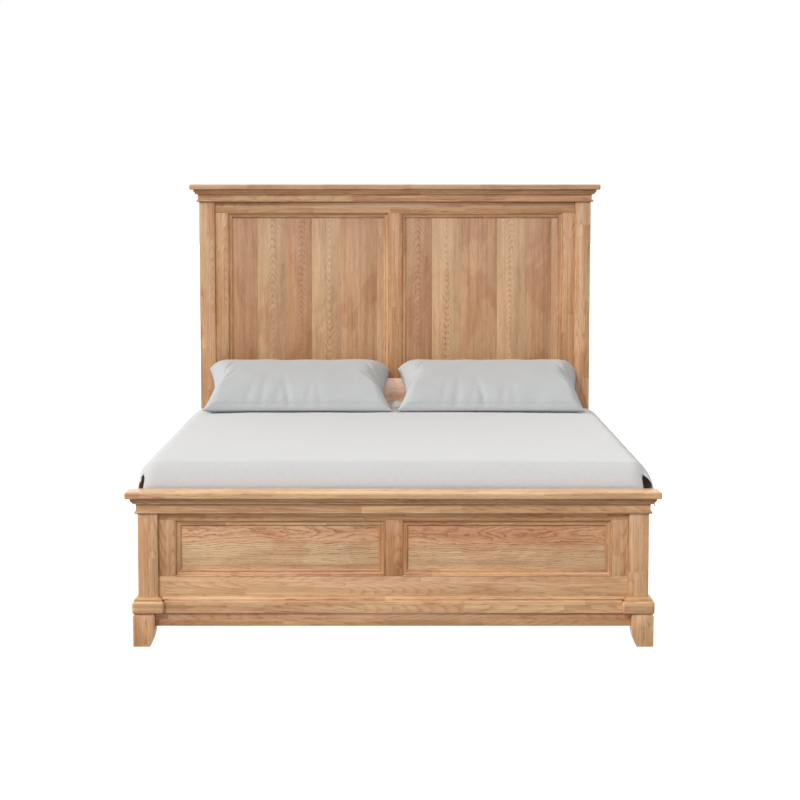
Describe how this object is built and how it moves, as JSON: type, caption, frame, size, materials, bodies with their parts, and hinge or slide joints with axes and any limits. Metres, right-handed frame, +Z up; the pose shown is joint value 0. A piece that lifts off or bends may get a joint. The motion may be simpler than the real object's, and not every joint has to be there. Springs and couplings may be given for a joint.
{
  "type": "panel bed",
  "caption": "Queen-size oak panel bed with a planked headboard, a low footboard on plinths, side rails, slats, mattress, coverlet and pillows.",
  "frame": {"origin": "on the floor, under the middle of the bed's outline", "axes": "+X to the right-hand side seen from the foot of the bed, +Y from the footboard to the headboard, +Z up"},
  "size_m": [1.756, 2.253, 1.531],
  "materials": {
    "oak_frame": "light oak staves, clear matt lacquer",
    "oak_panel": "light oak planks with cathedral grain, clear matt lacquer",
    "pine": "planed softwood, unfinished",
    "beech": "turned and fluted hardwood, unfinished",
    "zinc_plated_steel": "pressed plate, clear zinc",
    "yellow_zinc_screws": "rolled thread, yellow passivated zinc",
    "brass_insert": "turned brass",
    "glide_nylon_and_steel": "moulded black nylon pad on a steel stud",
    "mattress_ticking": "quilted white knit over foam",
    "coverlet_cotton": "plain pale grey cotton, plain weave",
    "pillowcase_cotton": "plain pale grey cotton, plain weave"
  },
  "bodies": {
    "bed_frame": {"beam_hangers": "zinc_plated_steel", "centre_beam": "pine", "centre_leg_front": "pine", "centre_leg_middle": "pine", "centre_leg_rear": "pine", "foot_left": "oak_frame", "foot_right": "oak_frame", "footboard_apron": "oak_frame", "footboard_base_moulding": "oak_frame", "footboard_bottom_rail": "oak_frame", "footboard_cap": "oak_frame", "footboard_crown_moulding": "oak_frame", "footboard_frieze_rail": "oak_frame", "footboard_mullion": "oak_frame", "footboard_panel_left": "oak_panel", "footboard_panel_moulding_left": "oak_frame", "footboard_panel_moulding_right": "oak_frame", "footboard_panel_right": "oak_panel", "footboard_post_left": "oak_frame", "footboard_post_right": "oak_frame", "footboard_stile_left": "oak_frame", "footboard_stile_right": "oak_frame", "footboard_top_rail": "oak_frame", "glide_inserts": "brass_insert", "headboard_bottom_rail": "oak_frame", "headboard_cap": "oak_frame", "headboard_crown_moulding": "oak_frame", "headboard_frieze_rail": "oak_frame", "headboard_lower_rail": "oak_frame", "headboard_mullion": "oak_frame", "headboard_panel_left": "oak_panel", "headboard_panel_moulding_left": "oak_frame", "headboard_panel_moulding_right": "oak_frame", "headboard_panel_right": "oak_panel", "headboard_post_left": "oak_frame", "headboard_post_right": "oak_frame", "headboard_stile_left": "oak_frame", "headboard_stile_right": "oak_frame", "headboard_top_rail": "oak_frame", "leg_studs": "yellow_zinc_screws", "plate_screws": "yellow_zinc_screws", "plinth_left": "oak_frame", "plinth_right": "oak_frame", "post_slot_plates": "zinc_plated_steel", "rail_dowels": "beech", "rail_hook_plates": "zinc_plated_steel", "side_rail_left": "oak_frame", "side_rail_right": "oak_frame", "slat_cleat_left": "pine", "slat_cleat_right": "pine", "slat_screws": "yellow_zinc_screws", "slats": "pine"},
    "mattress": {"mattress": "mattress_ticking", "coverlet": "coverlet_cotton"},
    "pillow_left": {"pillow_left": "pillowcase_cotton"},
    "pillow_right": {"pillow_right": "pillowcase_cotton"},
    "glide_front": {"levelling_glide_front": "glide_nylon_and_steel"},
    "glide_middle": {"levelling_glide_middle": "glide_nylon_and_steel"},
    "glide_rear": {"levelling_glide_rear": "glide_nylon_and_steel"}
  },
  "joints": [
    {"name": "mattress_lift", "type": "slide", "parent": "bed_frame", "child": "mattress", "axis": [0, 0, 1], "range_m": [0, 0.3]},
    {"name": "pillow_left_lift", "type": "slide", "parent": "mattress", "child": "pillow_left", "axis": [0, 0, 1], "range_m": [0, 0.25]},
    {"name": "pillow_right_lift", "type": "slide", "parent": "mattress", "child": "pillow_right", "axis": [0, 0, 1], "range_m": [0, 0.25]},
    {"name": "glide_front_screw_out", "type": "slide", "parent": "bed_frame", "child": "glide_front", "axis": [0, 0, -1], "range_m": [0, 0.012]},
    {"name": "glide_middle_screw_out", "type": "slide", "parent": "bed_frame", "child": "glide_middle", "axis": [0, 0, -1], "range_m": [0, 0.012]},
    {"name": "glide_rear_screw_out", "type": "slide", "parent": "bed_frame", "child": "glide_rear", "axis": [0, 0, -1], "range_m": [0, 0.012]}
  ]
}
